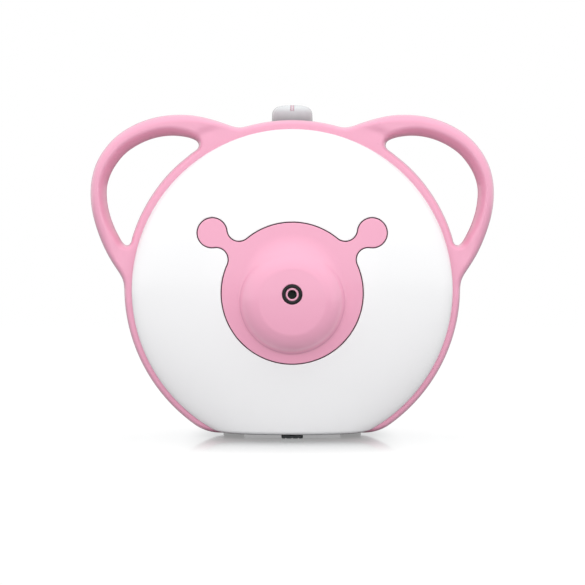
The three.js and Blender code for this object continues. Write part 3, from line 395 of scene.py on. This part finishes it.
# silhouette of an ear about the ring's centre: angle in degrees, radius in mm
EAR = [
    (0, 114.75), (1, 114.9), (2, 115.25), (3, 116.0), (4, 117.2), (5, 118.7), (6, 120.5), (7, 122.35), (8, 124.2), (9, 126.0), (10, 127.8), (12.5, 132.2),
    (15, 136.5), (17.5, 140.8), (20, 145.0), (22.5, 148.85), (25, 152.2), (27.5, 155.1), (30, 157.3), (32.5, 158.8), (35, 159.5), (37.5, 159.55), (40, 159.0),
    (42.5, 157.8), (45, 155.95), (47.5, 153.7), (50, 150.95), (52.5, 147.85), (55, 144.3), (57.5, 140.4), (60, 136.3), (62, 132.5), (64, 128.6), (66, 124.7),
    (68, 120.85), (69, 118.9), (70, 117.2), (71, 115.95), (72, 115.15), (73, 114.8), (74, 114.75),
]
OPENING = [
    (112.6, 28.9), (115.4, 30.2), (120.1, 37.8), (123.6, 46.0), (126.0, 54.6), (127.1, 63.0), (126.8, 70.0),
    (124.6, 77.4), (120.6, 84.6), (114.6, 91.8), (106.4, 97.6), (97.0, 101.8), (87.0, 104.0), (77.0, 104.0),
    (68.6, 102.2), (64.6, 99.8), (63.9, 96.2), (69.6, 91.3), (78.6, 83.8), (86.8, 75.4), (93.8, 66.4),
    (100.2, 56.2), (105.4, 45.6), (109.2, 35.2), (110.6, 30.2),
]


def casing_outline(ears=True):
    cz = BASE + 30.0
    cx = math.sqrt((RING_R - 30.0) ** 2 - cz * cz)
    tangent = math.degrees(math.atan2(cz, cx))
    right = [np.array([[x, BASE] for x in np.arange(0.4, cx, 0.8)]), arc(cx, cz, 30.0, -90, tangent, 40), arc(0, 0, RING_R, tangent + 0.4, -0.4, 90)]
    if ears:
        a, r = np.array(EAR).T
        t = np.arange(0, 74.01, 0.35)
        # cubic through the table
        slope = np.gradient(r, a)
        i = np.clip(np.searchsorted(a, t, side="right") - 1, 0, len(a) - 2)
        h = a[i + 1] - a[i]
        s = (t - a[i]) / h
        rr = (2 * s**3 - 3 * s**2 + 1) * r[i] + (s**3 - 2 * s**2 + s) * h * slope[i] + (-2 * s**3 + 3 * s**2) * r[i + 1] + (s**3 - s**2) * h * slope[i + 1]
        near = np.exp(-0.5 * (np.arange(-9, 10) / 3.0) ** 2)
        rr = np.convolve(np.pad(rr, 9, mode="edge"), near / near.sum(), mode="valid")
        right.append(np.stack([rr * np.cos(np.radians(t)), rr * np.sin(np.radians(t))], 1))
        right.append(arc(0, 0, RING_R, 74.4, 89.8, 40))
    else:
        right.append(arc(0, 0, RING_R, 0, 89.8, 220))
    right = np.vstack(right)
    left = right[::-1] * [-1, 1]
    return np.vstack([right, left])


def plate_outline():
    R, r, f, dx, dz = PLATE_R, LOBE_R, LOBE_FILLET, LOBE_X, LOBE_Z
    d = math.hypot(dx, dz)
    A, B = R + f, r + f
    al = (A * A - B * B + d * d) / (2 * d)
    up = math.sqrt(A * A - al * al)
    ux, uz = dx / d, dz / d
    lower = (ux * al + uz * up, uz * al - ux * up)
    upper = (ux * al - uz * up, uz * al + ux * up)
    deg = lambda x, z: math.degrees(math.atan2(z, x))
    pts = [arc(0, 0, R, -90, deg(*lower), 200)[:-1]]
    l0, l1 = deg(-lower[0], -lower[1]), deg(dx - lower[0], dz - lower[1])
    pts.append(arc(*lower, f, l0 + 360 if l0 < 0 else l0, l1, 50)[:-1])
    b0, b1 = deg(lower[0] - dx, lower[1] - dz), deg(upper[0] - dx, upper[1] - dz)
    pts.append(arc(dx, dz, r, b0, b1 + 360 if b1 < b0 else b1, 90)[:-1])
    u0, u1 = deg(dx - upper[0], dz - upper[1]), deg(-upper[0], -upper[1])
    pts.append(arc(*upper, f, u0, u1 - 360 if u1 > u0 else u1, 50)[:-1])
    pts.append(arc(0, 0, R, deg(*upper), 90, 60)[:-1])
    right = np.vstack(pts)
    left = right[::-1] * [-1, 1]
    out = np.vstack([right, left[:-1]])
    out[:, 1] += PLATE_Z
    return out


OUTER = Field(casing_outline(), (-6, -108), (150, 130), 0.8)
DRUM = Field(casing_outline(False), (-6, -108), (124, 124), 0.8)
HOLE = Field(closed_curve(OPENING, smooth=40), (50, 15), (140, 118), 0.6)
PLATE = Field(plate_outline(), (-4, -66), (76, 58), 0.4)


def normals_of(f, p, eps=0.04):
    g = np.empty_like(p)
    for i in range(3):
        d = np.zeros(3)
        d[i] = eps
        a, b = p + d, p - d
        g[:, i] = (f(a[:, 0], a[:, 1], a[:, 2]) - f(b[:, 0], b[:, 1], b[:, 2])) / (2 * eps)
    return g


def surface(name, f, lo, hi, h, material, body, nodes, second=None):
    """Meshes f = 0 (negative inside, millimetres) at a spacing of h, and moves every vertex onto the surface.
    second: another material, and a test of where it goes."""
    lo, hi = np.array(lo, float), np.array(hi, float)
    n = np.ceil((hi - lo) / h).astype(int) + 1
    x, y, z = (lo[i] + h * np.arange(n[i]) for i in range(3))
    v = np.broadcast_to(f(x[:, None, None], y[None, :, None], z[None, None, :]), n).astype(np.float32)
    grid = vdb.FloatGrid(10.0)
    grid.copyFromArray(np.ascontiguousarray(np.clip(v, -10, 10)))
    p, quads = grid.convertToQuads(0.0)
    p = lo + np.asarray(p, float) * h
    for _ in range(4):
        val = f(p[:, 0], p[:, 1], p[:, 2])
        g = normals_of(f, p)
        move = (val / np.maximum((g * g).sum(1), 1e-4))[:, None] * g
        size = np.linalg.norm(move, axis=1, keepdims=True)
        p = p - move * np.minimum(1, 0.4 * h / np.maximum(size, 1e-9))
    g = normals_of(f, p)
    g /= np.maximum(np.linalg.norm(g, axis=1, keepdims=True), 1e-9)
    mesh = bpy.data.meshes.new(name)
    q = np.asarray(quads, np.int32)
    mesh.vertices.add(len(p))
    mesh.vertices.foreach_set("co", ((p + ORIGIN) / 1000).astype(np.float32).ravel())
    mesh.loops.add(q.size)
    mesh.loops.foreach_set("vertex_index", q.ravel())
    mesh.polygons.add(len(q))
    mesh.polygons.foreach_set("loop_start", np.arange(0, q.size, 4, dtype=np.int32))
    mesh.update(calc_edges=True)
    mesh.validate()
    mesh.polygons.foreach_set("use_smooth", np.ones(len(mesh.polygons), bool))
    mesh.normals_split_custom_set_from_vertices(g.tolist())
    o = finish(mesh, name, material, body, nodes)
    if second:
        mesh.materials.append(second[0])
        c = p[q].mean(1)
        mesh.polygons.foreach_set("material_index", np.where(second[1](c[:, 0], c[:, 1], c[:, 2]), 1, 0).astype(np.int32))
    return o


def finish(mesh, name, material, body, nodes):
    o = bpy.data.objects.new(name, mesh)
    bpy.context.scene.collection.objects.link(o)
    mesh.materials.append(material)
    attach(o, body)
    if nodes:
        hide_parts(*nodes)
    return o


def lathe(name, profile, axis, centre, material, body, nodes, sides=128):
    """A closed profile of (radius, position, corner radius) in mm, turned about an axis through centre."""
    pts = rounded(profile)
    a = np.linspace(0, 2 * np.pi, sides, endpoint=False)
    rows = []
    for r, t in pts:
        c, s = r * np.cos(a), r * np.sin(a)
        k = np.full_like(a, t)
        if axis == "y":
            rows.append(np.stack([centre[0] + c, k, centre[1] + s], 1))
        else:
            rows.append(np.stack([centre[0] + c, centre[1] + s, k], 1))
    v = np.vstack(rows)
    m = len(pts)
    faces = []
    for i in range(m):
        j = (i + 1) % m
        if pts[i][0] < 1e-6 and pts[j][0] < 1e-6:
            continue
        for k in range(sides):
            l = (k + 1) % sides
            faces.append((i * sides + k, i * sides + l, j * sides + l, j * sides + k))
    mesh = bpy.data.meshes.new(name)
    mesh.from_pydata(((v + ORIGIN) / 1000).tolist(), [], faces)
    import bmesh

    bm = bmesh.new()
    bm.from_mesh(mesh)
    bmesh.ops.remove_doubles(bm, verts=bm.verts, dist=1e-6)
    bmesh.ops.dissolve_degenerate(bm, dist=1e-7, edges=bm.edges)
    bmesh.ops.recalc_face_normals(bm, faces=bm.faces)
    bm.to_mesh(mesh)
    bm.free()
    mesh.polygons.foreach_set("use_smooth", np.ones(len(mesh.polygons), bool))
    o = finish(mesh, name, material, body, nodes)
    return o


def rounded(profile, steps=6):
    """Replaces each corner that has a radius by an arc."""
    n = len(profile)
    out = []
    for i, item in enumerate(profile):
        p = np.array(item[:2], float)
        r = item[2] if len(item) > 2 else 0
        if not r:
            out.append(tuple(p))
            continue
        a, b = np.array(profile[i - 1][:2], float), np.array(profile[(i + 1) % n][:2], float)
        u, w_ = (a - p) / np.linalg.norm(a - p), (b - p) / np.linalg.norm(b - p)
        half = math.acos(max(-1, min(1, float(u @ w_)))) / 2
        t = min(r / math.tan(half), np.linalg.norm(a - p) * 0.499, np.linalg.norm(b - p) * 0.499)
        r = t * math.tan(half)
        c = p + (u + w_) / np.linalg.norm(u + w_) * (r / math.sin(half))
        s0, s1 = p + u * t - c, p + w_ * t - c
        a0, a1 = math.atan2(s0[1], s0[0]), math.atan2(s1[1], s1[0])
        d = (a1 - a0 + math.pi) % (2 * math.pi) - math.pi
        out.extend(tuple(c + r * np.array([math.cos(a0 + d * k / steps), math.sin(a0 + d * k / steps)])) for k in range(steps + 1))
    return out


# ---- the casing's forms
def dome(x, y, z, inset=0.0, push=0.0):
    """The front shell's outer form: negative inside. Roughly a distance near its surface."""
    R, H = DOME_R - inset, DOME_H - inset
    e = (x * x + (z - DOME_Z) ** 2) / (R * R)
    t = np.maximum(DOME_Y - y, 0) / H
    q = e + t ** (1 / 0.55)
    return (np.sqrt(np.maximum(q, 1e-9)) - 1) * H * 1.15


def pillow(x, y, z):
    """Ring and ears with their faces rounded off, open at the finger holes."""
    r, rim = np.hypot(x, z), OUTER(x, z)
    # a shallow valley where each ear grows out of the ring
    valley = 1.1 * np.exp(-(((r - 120.0) / 3.6) ** 2)) * step(3.0, 11.0, -rim)
    v = np.abs(y) / (EDGE_T - valley)
    out = step(118, 138, r)
    edge = EDGE_S + (EAR_S - EDGE_S) * out
    outside = (np.hypot(np.maximum(1 + rim / edge, 0), v) - 1) * edge
    # the grip's inner wall: a steep roll from the face down to the parting plane
    grip, p = EDGE_S + (GRIP_S - EDGE_S) * out, 2.0 - 0.42 * out
    w_ = 1 - HOLE(x, z) / grip
    u = 0.5 * (w_ + np.sqrt(w_ * w_ + 0.012))
    inside = ((u**p + v**p) ** (1 / p) - 1) * grip
    return smax(outside, inside, 0.8)


def drum(x, y, z):
    r = np.hypot(x, z)
    u = np.maximum(r - BACK_R, 0) / (RING_R - BACK_R)
    t = np.maximum(y, 0) / BACK_Y
    q = (u**BACK_N + t**BACK_N) ** (1 / BACK_N)
    return (q - 1) * 42.0


def ring_frame(x, y, z):
    r = np.hypot(x, z)
    f = pillow(x, y, z)
    f = smax(f, y + 0.15, 0.25)
    keep_low = BASE + 2.8 - z
    # the inside of the ring: a circle with a flat bottom, wider behind the flange
    inner = smax(r - 106.5, keep_low, 1.0)
    wide = smax(smax(r - 111.0, keep_low, 7.0), -9.0 - y, 0.6)
    return smax(f, -smin(inner, wide, 0.5), 0.5)


surface("front_ring", ring_frame, (-142, -15, -102), (142, 2, 122), 0.7, MAT["casing_pink"], "housing", ["ring_frame"])


def rear(x, y, z):
    r = np.hypot(x, z)
    f = smax(drum(x, y, z), DRUM(x, z), 3.0)
    ears = smax(pillow(x, y, z), y - EDGE_T, 0.2)
    f = smin(f, ears, 0.2 + 6.0 * step(2, 11, y) * step(0.5, 9, DRUM(x, z) - OUTER(x, z)))
    f = smax(f, 0.15 - y, 0.25)
    # hollow
    u = np.maximum(r - BACK_R, 0) / (RING_R - 2.6 - BACK_R)
    t = np.maximum(y, 0) / (BACK_Y - 2.6)
    hollow = ((u**BACK_N + t**BACK_N) ** (1 / BACK_N) - 1) * 40
    hollow = smax(hollow, BASE + 2.8 - z, 7.0)
    f = smax(f, -hollow, 0.5)
    # dial boss and well
    boss = np.hypot(x, y - DIAL_Y) - 17.0
    boss = smax(smax(boss, 103.5 - z, 0.5), z - 113.0, 0.5)
    f = smin(f, smax(boss, 0.15 - y, 0.2), 1.0)
    well = smax(np.hypot(x, y - DIAL_Y) - 14.95, 108.4 - z, 0.6)
    f = smax(f, -well, 0.9)
    f = smax(f, -smax(np.hypot(x, y - DIAL_Y) - 3.6, 80 - z, 0.4), 0.4)
    # screw wells
    for a in (40, 140, 220, 320):
        sx, sz = 96 * math.cos(math.radians(a)), 96 * math.sin(math.radians(a))
        d = np.hypot(x - sx, z - sz)
        stem = smax(smax(d - 5.8, 0.2 - y, 0.2), drum(x, y, z) + 1.0, 0.5)
        f = smin(f, stem, 1.0)
        f = smax(f, -smax(d - 4.2, 18 - y, 0.4), 0.8)
        f = smax(f, -(d - 2.0), 0.2)
    # filter hole and mains inlet
    f = smax(f, -smax(np.hypot(x - 40, z - 30) - 13.4, 40 - y, 0.4), 0.6)
    bx = smax(np.abs(x - 50) - 12.4, np.abs(z + 55) - 7.4, 1.6)
    f = smax(f, -smax(bx, 30 - y, 0.4), 0.6)
    # vent slots
    for i in range(7):
        zc = -77 + 8.4 * i
        half = (15, 19.5, 21.5, 22, 21.5, 19.5, 15)[i]
        slot_ = np.hypot(np.maximum(np.abs(x + 38) - half, 0), z - zc) - 1.6
        f = smax(f, -smax(slot_, 40 - y, 0.4), 0.9)
    # holes for the rear feet
    for s in (-1, 1):
        f = smax(f, -smax(np.hypot(x - s * 41, y - 26.5) - 2.4, z + 90, 0.2), 0.3)
    return f


surface("rear_casing", rear, (-142, -2, -102), (142, 51, 122), 0.9, MAT["casing_pink"], "housing", ["rear_housing"])


def front(x, y, z):
    f = smax(dome(x, y, z), y - DOME_Y, 1.2)
    f = smax(f, BASE - z, 3.2)
    hollow = smax(dome(x, y, z, 2.5), BASE + 2.8 - z, 3.0)
    f = smax(f, -hollow, 0.4)
    f = smax(f, -(PLATE(x, z) - 0.62), 0.45)
    f = smax(f, -smax(np.hypot(x, y + 18.6) - 2.4, z + 90, 0.2), 0.3)
    return f


surface("white_shell", front, (-113, -47, -102), (113, -11, 113), 0.7, MAT["shell_white"], "housing", ["front_shell"])


def snout_form(x, y, z):
    """A low round cushion: a slightly crowned face, a soft crease round it, and a shoulder that steepens to the side."""
    zc = SNOUT_Z - 0.6 * step(0, 14, -45 - y)
    r = np.hypot(x, z - zc)
    u = np.maximum(r - 21.0, 0) / (SNOUT_R - 21.0)
    t = np.maximum(-40.0 - y - 0.9 * (1 - (np.minimum(r, 24) / 21.0) ** 2), 0) / (-40.4 - SNOUT_Y)
    q = (u**1.65 + t**1.65) ** (1 / 1.65)
    return (q - 1) * 15.0


def plate(x, y, z):
    d = PLATE(x, z)
    face = dome(x, y, z)
    f = smax(face, d, 0.5)
    s = snout_form(x, y, z)
    k = 1.2 + 9.0 * step(-6, 34, z)
    f = smin(f, smax(s, d + 2.5, 1.0), k)
    # hollow behind
    back = dome(x, y, z, 2.6)
    inner = smin(back, snout_form(x, y - 2.2, z) + 2.0, 2.0)
    f = smax(f, -inner, 0.5)
    f = smax(f, y + 24.0, 0.3)
    f = smax(f, -(np.hypot(x, z - PORT_Z) - 6.55), 0.5)
    return f


surface("snout", plate, (-67, -60, -55), (67, -20, 51), 0.55, MAT["plate_pink"], "housing", ["snout_plate"])


def gasket(x, y, z):
    """The seal in the groove round the plate, a little below both faces."""
    d = PLATE(x, z)
    f = smax(np.abs(d - 1.75) - 1.6, dome(x, y, z) + 1.3, 0.4)
    f = smax(f, -smax(dome(x, y, z) + 2.7, 0.85 - d, 0.1), 0.1)
    return smax(f, -(dome(x, y, z) + 3.8), 0.3)


surface("plate_seal", gasket, (-69, -46, -57), (69, -22, 53), 0.5, MAT["seal_dark"], "housing", ["plate_gasket"])


# ---- the hose port: a nipple in a black ring
lathe(
    "port_ring",
    [(4.45, -53.7), (4.45, -57.6, 0.35), (5.15, -58.0, 0.3), (6.35, -57.75, 0.5), (6.35, -54.8), (8.6, -54.8, 0.2), (8.6, -53.7, 0.2)],
    "y", (0, PORT_Z), MAT["port_black"], "housing", ["port_grommet"],
)


def nipple(x, y, z):
    r = np.hypot(x, z - PORT_Z)
    f = smax(r - 4.3, -57.5 - y, 0.7)
    f = smin(f, smax(smax(r - 9.2, -53.5 - y, 0.3), y + 51.7, 0.3), 0.4)
    f = smin(f, smax(r - 5.2, -53 - y, 0.3), 0.8)
    f = smax(f, y + 31, 0.5)
    s = np.hypot(y + 36, z - PORT_Z)
    barb = smax(s - 2.3 + 0.25 * step(9, 14.5, x), smax(3 - x, x - 14.5, 0.1), 0.4)
    f = smin(f, barb, 1.0)
    f = smax(f, -smax(r - 2.95, y + 34, 0.4), 0.5)
    return smax(f, -smax(s - 1.4, -x, 0.1), 0.3)


surface(
    "port_nipple", nipple, (-10, -59, -15), (16, -30, 6), 0.26, MAT["plate_pink"], "housing", ["hose_port"],
    second=(MAT["bore_grey"], lambda x, y, z: (np.hypot(x, z - PORT_Z) < 3.05) & (y > -57.1)),
)


# ---- the dial: a smooth cap with a crowned top, its pointer let in at the front
def cap_skin(x, y, z, inset=0.0):
    """The cap's outer form: a crowned top, a round shoulder and a side that leans in a little."""
    r = np.hypot(x, y - DIAL_Y)
    s = 5.2 - inset
    top = DIAL_TOP - inset - 0.35 * (r / DIAL_R) ** 2
    a, b = r - (DIAL_R - inset - s) + 0.035 * (z - DIAL_BOTTOM), z - (top - s)
    return np.minimum(np.maximum(a, b), 0) + np.hypot(np.maximum(a, 0), np.maximum(b, 0)) - s


def dial(x, y, z):
    r = np.hypot(x, y - DIAL_Y)
    f = smax(cap_skin(x, y, z), DIAL_BOTTOM - z, 0.6)
    f = smax(f, -smax(r - 3.3, z - 118.6, 0.3), 0.4)
    slot = smax(smax(np.abs(x) - 1.15, DIAL_MARK - z, 0.1), y - (DIAL_Y - 9.0), 0.1)
    return smax(f, -smax(slot, -cap_skin(x, y, z, 0.9), 0.1), 0.2)


surface("dial_cap", dial, (-15.5, 1.5, 108), (15.5, 32.5, 127.4), 0.32, MAT["cap_grey"], "dial", ["power_dial"])


def pointer(x, y, z):
    low = 0.05 + 0.42 * (1 - step(0.22, 0.42, np.abs(x)))
    f = smax(cap_skin(x, y, z, low), -cap_skin(x, y, z, 0.85), 0.05)
    f = smax(f, np.abs(x) - 1.0, 0.15)
    f = smax(f, DIAL_MARK + 0.15 - z, 0.15)
    return smax(f, y - (DIAL_Y - 9.15), 0.15)


surface(
    "dial_line", pointer, (-1.6, 2, 121), (1.6, 12, 127), 0.13, MAT["pointer_pink"], "dial", ["dial_pointer"],
    second=(MAT["cap_grey"], lambda x, y, z: np.abs(x) < 0.36),
)


# ---- feet: a ribbed pad with a stud
def foot_at(fx, fy):
    def f(x, y, z):
        u, v = np.abs(x - fx), np.abs(y - fy)
        a, b = np.maximum(u - 5.05, 0), np.maximum(v - 1.8, 0)
        side = np.hypot(a, b) - 2.2 + 0.15 * step(-99.4, -101.2, z) ** 2
        g = smax(side, BASE - 2.0 - z, 0.5)
        g = smax(g, z - (BASE - 0.15), 0.4)
        for k in (-4.2, 0.0, 4.2):
            g = smax(g, -(np.hypot(x - fx - k, z - (BASE - 2.15)) - 0.55), 0.25)
        r = np.hypot(x - fx, y - fy)
        g = smin(g, smax(smax(r - 2.0, BASE - 1.0 - z, 0.2), z + 94.5, 0.2), 0.5)
        return smin(g, smax(smax(r - (3.1 - 0.5 * (z + 95.9)), -95.9 - z, 0.2), z + 94.3, 0.4), 0.2)

    return f


for tag, (fx, fy) in {"foot_front": (0, -18.6), "foot_rear_right": (41, 26.5), "foot_rear_left": (-41, 26.5)}.items():
    surface("pad_" + tag[5:], foot_at(fx, fy), (fx - 8, fy - 4.8, -101.6), (fx + 8, fy + 4.8, -93.6), 0.28, MAT["rubber_black"], "housing", [tag])


# ---- screws: a pan head with a cross recess
def screw_at(sx, sz):
    def f(x, y, z):
        r = np.hypot(x - sx, z - sz)
        g = smax(r - 1.6 + 0.12 * np.cos(2 * np.pi * (y + np.arctan2(z - sz, x - sx) / (2 * np.pi)) / 1.25), -8.4 - y, 0.8)
        g = smax(g, y - 19, 0.2)
        head = smax(smax(r - 3.5, 18.3 - y, 0.25), y - (21.25 - 0.075 * r * r), 0.7)
        g = smin(g, head, 0.3)
        u, v = np.abs(x - sx), np.abs(z - sz)
        cross = np.minimum(smax(u - 1.9, v - 0.42, 0.2), smax(v - 1.9, u - 0.42, 0.2))
        return smax(g, -smax(cross, 19.9 - y + 0.2 * r, 0.1), 0.15)

    return f


for i, (sx, sz) in enumerate(SCREWS):
    surface(f"screw_{i + 1}", screw_at(sx, sz), (sx - 3.8, -9, sz - 3.8), (sx + 3.8, 21.8, sz + 3.8), 0.24, MAT["zinc"], "housing", [f"housing_screw_{i + 1}"])


# ---- mains inlet: a figure-of-eight socket in a flanged body, and its two pins
def inlet(x, y, z):
    u, v = x - 50, z + 55
    body = smax(smax(np.abs(u) - 12, np.abs(v) - 7, 2.4), smax(29 - y, y - 47.6, 0.1), 0.5)
    flange = smax(smax(np.abs(u) - 14, np.abs(v) - 9, 1.0), np.abs(y - 41.6) - 1.0, 0.3)
    f = smin(body, flange, 0.3)
    # two round ends with a shallow waist
    lobes = np.minimum(np.hypot(np.maximum(np.abs(u) - 5.6, 0), v) - 4.6, smax(np.abs(u) - 6.5, np.abs(v) - 4.0, 0.2))
    f = smax(f, -smax(lobes, 32.6 - y, 0.5), 0.7)
    for s in (-1, 1):
        f = smax(f, -(np.hypot(u - s * 4.3, v) - 1.5), 0.2)
    return f


surface("inlet_socket", inlet, (35, 28, -65), (65, 48.6, -45), 0.38, MAT["plastic_black"], "housing", ["mains_inlet"])
for s, tag in ((-1, "left"), (1, "right")):
    lathe("contact_" + tag, [(0, 24.0), (1.2, 24.0, 0.2), (1.2, 45.3, 1.0), (0, 45.5)], "y", (50 + s * 4.3, -55), MAT["brass"], "housing", ["inlet_pin_" + tag], sides=40)


# ---- the filter's cap: a slotted lid with a collar
def lid(x, y, z):
    r = np.hypot(x - 40, z - 30)
    f = smax(smax(r - 13.0, 44.7 - y, 0.3), y - 48.0 + 0.35 * np.exp(-((r - 11.3) / 0.5) ** 2), 1.1)
    f = smin(f, smax(r - 10.9, smax(41.4 - y, y - 46, 0.1), 0.3), 0.2)
    f = smax(f, -smax(r - 9.4, y - 45.6, 0.4), 0.4)
    for dx, half in ((-6, 4.3), (-2, 6.3), (2, 6.3), (6, 4.3)):
        f = smax(f, -(np.hypot(x - 40 - dx, np.maximum(np.abs(z - 30) - half, 0)) - 0.85), 0.5)
    return f


surface("filter_lid", lid, (26, 40.5, 16), (54, 48.8, 44), 0.3, MAT["dial_grey"], "cap", ["filter_cap"])

# ------------------------------------------------------------------ the CAD pieces that stay
for name, o in frame["nodes"].items():
    slot = next(s["material_slot"] for s in frame["record"]["subparts"] if s["node"] == name)
    o.data.materials.clear()
    o.data.materials.append(MAT[slot])
